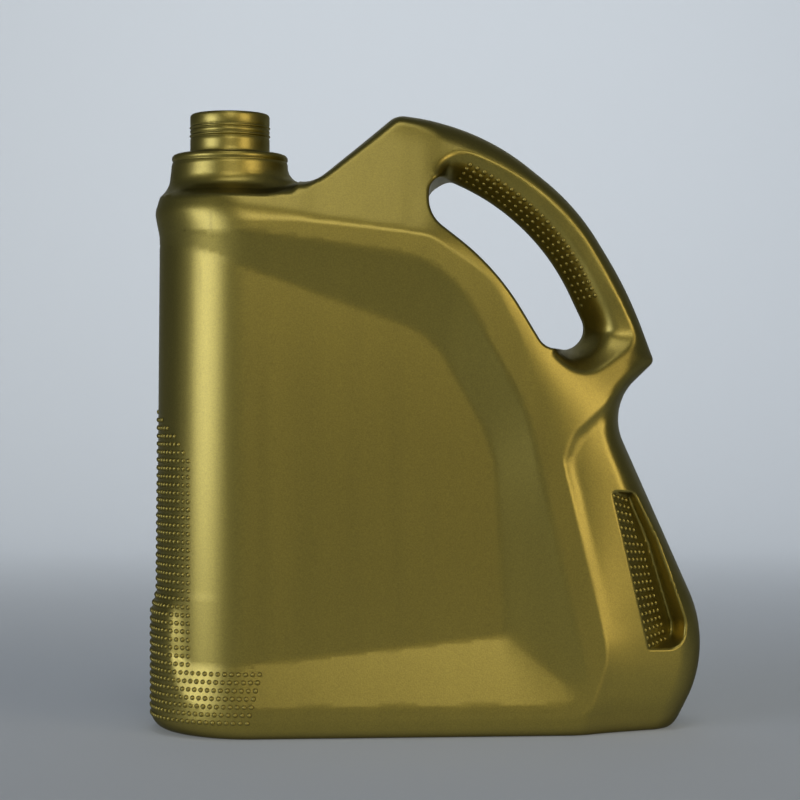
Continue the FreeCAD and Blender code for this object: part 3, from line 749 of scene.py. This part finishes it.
def endPlaces():
    # left end: level rows that arch up towards the parting plane, then the boot's own rows
    found = []
    arch, length = dots["endArch"]
    z = dots["endLow"]
    while z < dots["endHigh"] + arch:
        found += [(x, t, z) for s, x, t in roundTheEnd(dots["endFront"], z, dots["pitch"])
                  if z <= dots["endHigh"] + arch * (1 - math.exp(-s / length))]
        z += dots["rows"]
    top, low, count = dots["bootRows"]
    startTop, startLow = dots["bootFront"]
    for k in range(count):
        z = top + (low - top) * k / (count - 1)
        startX = startTop + (startLow - startTop) * k / (count - 1)
        found += [(x, t, z) for s, x, t in roundTheEnd(startX, z, dots["pitch"])]
    return found


def gripPlaces():
    # finger grip: rows fan a little down its sloping floor
    found = []
    for k in range(dots["gripRows"]):
        f = (k + 0.55) / dots["gripRows"]
        startX, startZ = gripLeft[0] * (1 - f) + gripLeft[1] * f
        for c in range(4 if f < 0.3 else 5):
            x = startX + dots["gripFirst"] + dots["gripPitch"] * c
            found.append((x, startZ + (0.62 * f - 0.36) * (x - startX)))
    return found


def handlePlaces():
    # inside of the handle: rows that follow the finger hole's upper edge
    found = []
    outward = (hole - hole.mean(0)) @ np.array([0.72, 0.69])
    upper = hole[(hole[:, 1] > 183) & (outward > 8) & (hole[:, 0] > 12)]
    upper = upper[np.argsort(upper[:, 0])]
    far = np.concatenate([[0], np.cumsum(np.linalg.norm(np.diff(upper, axis=0), axis=1))])
    for row in range(dots["handleRows"]):
        for s in np.arange(1.0 + 0.6 * row, far[-1] - 0.5, dots["handlePitch"]):
            here = np.array([np.interp(s, far, upper[:, k]) for k in (0, 1)])
            ahead = np.array([np.interp(s + 0.5, far, upper[:, k]) for k in (0, 1)])
            along = (ahead - here) / max(np.linalg.norm(ahead - here), 1e-6)
            out = np.array([-along[1], along[0]])
            found.append(tuple(here + out * (dots["handleFirst"] + dots["handleRow"] * row)))
    return found


def dotPlaces():
    # each place is mirrored over the parting plane, unless it lies on it
    flat = gripPlaces() + handlePlaces()
    found = endPlaces() + [(x, t, z) for (x, z), t in zip(flat, halfThickness(np.array(flat)))]
    return [(x, side * t, z) for x, t, z in found for side in (-1, 1) if side < 0 or t > 1.0]


def dotTree():
    # a dome on every point, turned to the wall's own direction
    tree = bpy.data.node_groups.new("gripDots", "GeometryNodeTree")
    face = tree.interface
    face.new_socket("Geometry", in_out="INPUT", socket_type="NodeSocketGeometry")
    names = {}
    for label, kind in (("Radius", "NodeSocketFloat"), ("Height", "NodeSocketFloat"),
                        ("Seed", "NodeSocketInt"), ("Finish", "NodeSocketMaterial")):
        names[label] = face.new_socket(label, in_out="INPUT", socket_type=kind).identifier
    face.new_socket("Geometry", in_out="OUTPUT", socket_type="NodeSocketGeometry")
    new, join = tree.nodes.new, tree.links.new
    given, result = new("NodeGroupInput"), new("NodeGroupOutput")
    ball = new("GeometryNodeMeshUVSphere")
    ball.inputs["Segments"].default_value = 10
    ball.inputs["Rings"].default_value = 6
    ball.inputs["Radius"].default_value = 1.0
    size = new("ShaderNodeCombineXYZ")
    join(given.outputs["Radius"], size.inputs[0])
    join(given.outputs["Radius"], size.inputs[1])
    join(given.outputs["Height"], size.inputs[2])
    dome = new("GeometryNodeTransform")
    join(ball.outputs["Mesh"], dome.inputs["Geometry"])
    join(size.outputs[0], dome.inputs["Scale"])
    lean = new("GeometryNodeInputNamedAttribute")
    lean.data_type = "FLOAT_VECTOR"
    lean.inputs["Name"].default_value = "lean"
    turn = new("FunctionNodeAlignRotationToVector")
    turn.axis = "Z"
    join(lean.outputs["Attribute"], turn.inputs["Vector"])
    vary = new("FunctionNodeRandomValue")
    vary.data_type = "FLOAT"
    vary.inputs[2].default_value = 0.95
    vary.inputs[3].default_value = 1.05
    join(given.outputs["Seed"], vary.inputs["Seed"])
    place = new("GeometryNodeInstanceOnPoints")
    join(given.outputs["Geometry"], place.inputs["Points"])
    join(dome.outputs["Geometry"], place.inputs["Instance"])
    join(turn.outputs["Rotation"], place.inputs["Rotation"])
    join(vary.outputs[1], place.inputs["Scale"])
    real = new("GeometryNodeRealizeInstances")
    smooth = new("GeometryNodeSetShadeSmooth")
    paint = new("GeometryNodeSetMaterial")
    join(place.outputs["Instances"], real.inputs["Geometry"])
    join(real.outputs["Geometry"], smooth.inputs["Geometry"])
    join(smooth.outputs["Geometry"], paint.inputs["Geometry"])
    join(given.outputs["Finish"], paint.inputs["Material"])
    join(paint.outputs["Geometry"], result.inputs["Geometry"])
    return tree, names


def buildDots(paint):
    # each place is moved to the nearest spot of the wall, and left out where it crowds another
    shell = body.data
    corners = [v.co / mm for v in shell.vertices]
    wall = BVHTree.FromPolygons(corners, [tuple(f.vertices) for f in shell.polygons])
    spots, leans = [], []
    for place in dotPlaces():
        hit, normal = wall.find_nearest(place)[:2]
        if any((hit - other).length < dots["apart"] for other in spots[-400:]):
            continue
        spots.append(hit - normal * dots["sink"])
        leans.append(normal)
    seeds = bpy.data.meshes.new("dotSpots")
    seeds.from_pydata([tuple(v * mm) for v in spots], [], [])
    lean = seeds.attributes.new("lean", "FLOAT_VECTOR", "POINT")
    lean.data.foreach_set("vector", [c for n in leans for c in n])
    source = bpy.data.objects.new("dotSpots", seeds)
    bpy.context.scene.collection.objects.link(source)
    tree, names = dotTree()
    grow = source.modifiers.new("dots", "NODES")
    grow.node_group = tree
    grow[names["Radius"]] = dots["radius"] * mm
    grow[names["Height"]] = (dots["height"] + dots["sink"]) * mm
    grow[names["Seed"]] = dots["seed"]
    grow[names["Finish"]] = paint
    look = source.evaluated_get(bpy.context.evaluated_depsgraph_get())
    mesh = bpy.data.meshes.new_from_object(look)
    piece = bpy.data.objects.new("grip_dots", mesh)
    bpy.context.scene.collection.objects.link(piece)
    bpy.data.objects.remove(source)
    say(f"{len(spots)} grip dots, {len(mesh.polygons)} faces")
    return piece


finish = {
    "gold": (0.42, 0.332, 0.056),
    "paintedEdgeShade": (0.10, 0.09, 0.03),     # pearl flop and painted edge shade: the colour where the wall turns away from the eye
    "edgeTint": (0.55, 0.50, 0.34),  # what grazing light keeps
    "metallic": 0.90,
    "roughness": 0.365,
    "coat": 0.35,
    "coatIor": 1.75,
    "coatRoughness": 0.30,
    "streaks": 0.014,                # how much each pattern changes the brightness
    "clouds": 0.035,
    "flakes": 0.12,
    "scuffs": 0.05,                  # how much rougher the marks of handling are
    "grain": 0.25,                   # strength of the bump
    "grainDepth": 0.12 * mm,
}


def goldPlastic():
    mat = bpy.data.materials.new("goldPlastic")
    mat.use_nodes = True
    nodes, links = mat.node_tree.nodes, mat.node_tree.links
    shader = nodes["Principled BSDF"]
    place = nodes.new("ShaderNodeTexCoord")

    def noise(scale, stretch=(1, 1, 1), detail=3.0, rough=0.5):
        move = nodes.new("ShaderNodeMapping")
        move.inputs["Scale"].default_value = stretch
        links.new(place.outputs["Object"], move.inputs["Vector"])
        tex = nodes.new("ShaderNodeTexNoise")
        tex.inputs["Scale"].default_value = scale
        tex.inputs["Detail"].default_value = detail
        tex.inputs["Roughness"].default_value = rough
        links.new(move.outputs["Vector"], tex.inputs["Vector"])
        return tex.outputs["Fac"]

    def spread(value, low, high, outLow, outHigh):
        node = nodes.new("ShaderNodeMapRange")
        node.inputs["From Min"].default_value = low
        node.inputs["From Max"].default_value = high
        node.inputs["To Min"].default_value = outLow
        node.inputs["To Max"].default_value = outHigh
        links.new(value, node.inputs["Value"])
        return node.outputs["Result"]

    def maths(kind, a, b):
        node = nodes.new("ShaderNodeMath")
        node.operation = kind
        for socket, value in zip(node.inputs, (a, b)):
            if isinstance(value, (int, float)):
                socket.default_value = value
            else:
                links.new(value, socket)
        return node.outputs[0]

    # pearl pigment with painted edge shade: bright face on, painted darker as the wall turns away from the
    # eye
    turning = nodes.new("ShaderNodeLayerWeight")
    turning.inputs["Blend"].default_value = 0.5
    pearlWithEdgeShade = nodes.new("ShaderNodeMix")
    pearlWithEdgeShade.data_type = "RGBA"
    links.new(spread(turning.outputs["Facing"], 0.18, 0.85, 0.0, 1.0), pearlWithEdgeShade.inputs[0])
    pearlWithEdgeShade.inputs[6].default_value = (*finish["gold"], 1)
    pearlWithEdgeShade.inputs[7].default_value = (*finish["paintedEdgeShade"], 1)
    # upright streaks from the mould, soft clouds and fine flakes
    streaks = noise(9.0, (14, 14, 0.35), 4.0, 0.6)
    clouds = noise(16.0, (1, 1, 0.6), 3.0)
    flakes = noise(1500.0, (1, 1, 1), 1.0)
    grain = maths("ADD", spread(streaks, 0.3, 0.7, -finish["streaks"], finish["streaks"]),
                  spread(clouds, 0.3, 0.7, -finish["clouds"], finish["clouds"]))
    grain = maths("ADD", grain, spread(flakes, 0.25, 0.75, -finish["flakes"], finish["flakes"]))
    value = nodes.new("ShaderNodeHueSaturation")
    links.new(maths("ADD", grain, 1.0), value.inputs["Value"])
    links.new(pearlWithEdgeShade.outputs[2], value.inputs["Color"])
    # the base colour carries painted shade at the edges, besides the grain below
    links.new(value.outputs["Color"], shader.inputs["Base Color"])
    shader.inputs["Metallic"].default_value = finish["metallic"]
    # light handling marks: short scuffs in a few worn patches
    marks = spread(noise(210.0, (1, 1, 0.12), 2.0), 0.66, 0.74, 0.0, 1.0)
    worn = maths("MULTIPLY", marks, spread(noise(14.0, (1, 1, 1), 2.0), 0.56, 0.70, 0.0, 1.0))
    rough = maths("ADD", spread(streaks, 0.3, 0.7, -0.015, 0.02), maths("MULTIPLY", worn, finish["scuffs"]))
    links.new(maths("ADD", rough, finish["roughness"]), shader.inputs["Roughness"])
    shader.inputs["Specular Tint"].default_value = (*finish["edgeTint"], 1)
    # the clear skin fades where the wall turns away, so that edges stay dark gold
    skin = maths("MULTIPLY", spread(turning.outputs["Facing"], 0.3, 0.9, 1.0, 0.1), finish["coat"])
    links.new(skin, shader.inputs["Coat Weight"])
    shader.inputs["Coat IOR"].default_value = finish["coatIor"]
    shader.inputs["Coat Roughness"].default_value = finish["coatRoughness"]
    bump = nodes.new("ShaderNodeBump")
    bump.inputs["Strength"].default_value = finish["grain"]
    bump.inputs["Distance"].default_value = finish["grainDepth"]
    links.new(maths("ADD", flakes, maths("MULTIPLY", streaks, 1.6)), bump.inputs["Height"])
    links.new(bump.outputs["Normal"], shader.inputs["Normal"])
    return mat


gold = goldPlastic()
body.data.materials.append(gold)
gripDots = buildDots(gold)


studio = {
    "camera": (-0.012154, -1.060, 0.153872),
    "lens": 101.06,
    "floor": (0.58, 0.62, 0.66),
    "lift": 0.13,                    # how much paler the floor looks than it is lit
    "air": (0.75, 0.88, 1.0),        # the dim light from everywhere
    "airStrength": 0.09,
    # name: degrees to the right of the camera's side, height, distance, size, power, spread, colour
    "softboxes": {
        "leftSoftbox": (-52, 0.24, 1.6, (1.1, 0.85), 1.10, 60, (0.95, 1.0, 1.22)),
        "rightSoftbox": (46, 0.42, 1.7, (0.8, 1.2), 0.85, 60, (1.0, 0.84, 0.6)),
        "frontSoftbox": (6, 0.84, 1.7, (1.1, 0.45), 0.27, 40, (1.0, 0.94, 0.84)),
        "topSoftbox": (6, 1.7, 0.75, (0.9, 0.7), 0.20, 40, (1.0, 0.98, 0.95)),
        "backLight": (180, 1.9, 1.2, (2.4, 0.6), 17, 130, (1, 1, 1)),
    },
    "jugMiddle": (0, 0, 0.14),       # what the softboxes point at
    "backdropMiddle": (0, 2.4, 0.2),
}


def softbox(name, azimuth, height, distance, size, power, spread, colour, target):
    light = bpy.data.lights.new(name, "AREA")
    light.shape = "RECTANGLE"
    light.size, light.size_y = size
    light.energy = power
    light.color = colour
    light.spread = math.radians(spread)
    lamp = bpy.data.objects.new(name, light)
    turn = math.radians(azimuth)
    place = Vector((math.sin(turn) * distance, -math.cos(turn) * distance, height))
    lamp.location = place
    lamp.rotation_euler = (Vector(target) - place).to_track_quat("-Z", "Y").to_euler()
    bpy.context.scene.collection.objects.link(lamp)


def paleSheet(name, colour, lift):
    # a matt sheet that looks a little paler, to the eye and in the gold, than the light on it makes it
    mat = bpy.data.materials.new(name)
    mat.use_nodes = True
    nodes, links = mat.node_tree.nodes, mat.node_tree.links
    nodes.remove(nodes["Principled BSDF"])
    matt = nodes.new("ShaderNodeBsdfDiffuse")
    matt.inputs["Color"].default_value = (*colour, 1)
    glow = nodes.new("ShaderNodeEmission")
    glow.inputs["Color"].default_value = (*colour, 1)
    path = nodes.new("ShaderNodeLightPath")
    direct = nodes.new("ShaderNodeMath")
    direct.operation = "ADD"
    links.new(path.outputs["Is Camera Ray"], direct.inputs[0])
    links.new(path.outputs["Is Transmission Ray"], direct.inputs[1])
    seen = nodes.new("ShaderNodeMath")
    seen.operation = "ADD"
    seen.use_clamp = True
    links.new(direct.outputs[0], seen.inputs[0])
    links.new(path.outputs["Is Glossy Ray"], seen.inputs[1])
    amount = nodes.new("ShaderNodeMath")
    amount.operation = "MULTIPLY"
    links.new(seen.outputs[0], amount.inputs[0])
    amount.inputs[1].default_value = lift
    links.new(amount.outputs[0], glow.inputs["Strength"])
    both = nodes.new("ShaderNodeAddShader")
    links.new(matt.outputs[0], both.inputs[0])
    links.new(glow.outputs[0], both.inputs[1])
    links.new(both.outputs[0], nodes["Material Output"].inputs["Surface"])
    return mat


def buildFloor():
    # one pale sheet: the floor curves up into the backdrop
    halfWidth, front, bendStart, radius, top = 5, -4.0, 1.2, 1.0, 4.0
    sweep = [(front, 0.0), (bendStart, 0.0)]
    for a in np.linspace(0.08, math.pi / 2, 20):
        sweep.append((bendStart + math.sin(a) * radius, radius - math.cos(a) * radius))
    sweep.append((bendStart + radius, top))
    verts = [(x, y, z) for y, z in sweep for x in (-halfWidth, halfWidth)]
    strips = [(2 * k, 2 * k + 1, 2 * k + 3, 2 * k + 2) for k in range(len(sweep) - 1)]
    sheet = makeMesh("floor", verts, strips)
    sheet.data.materials.append(paleSheet("paleFloor", studio["floor"], studio["lift"]))
    return sheet


scene = bpy.context.scene
cameraData = bpy.data.cameras.new("camera")
cameraData.lens = studio["lens"]
cameraData.sensor_width = 36
camera = bpy.data.objects.new("camera", cameraData)
camera.location = studio["camera"]
camera.rotation_euler = (math.radians(90), 0, 0)
scene.collection.objects.link(camera)
scene.camera = camera

floor = buildFloor()
for name, settings in studio["softboxes"].items():
    target = studio["backdropMiddle"] if name == "backLight" else studio["jugMiddle"]
    softbox(name, *settings, target)
world = bpy.data.worlds.new("dimWorld")
scene.world = world
world.use_nodes = True
air = world.node_tree.nodes["Background"]
air.inputs["Color"].default_value = (*studio["air"], 1)
air.inputs["Strength"].default_value = studio["airStrength"]
scene.view_settings.view_transform = "Standard"
say("studio ready")

for piece in (body, gripDots):
    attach(piece, "root")
    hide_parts("jug")

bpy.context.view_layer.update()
say("done")
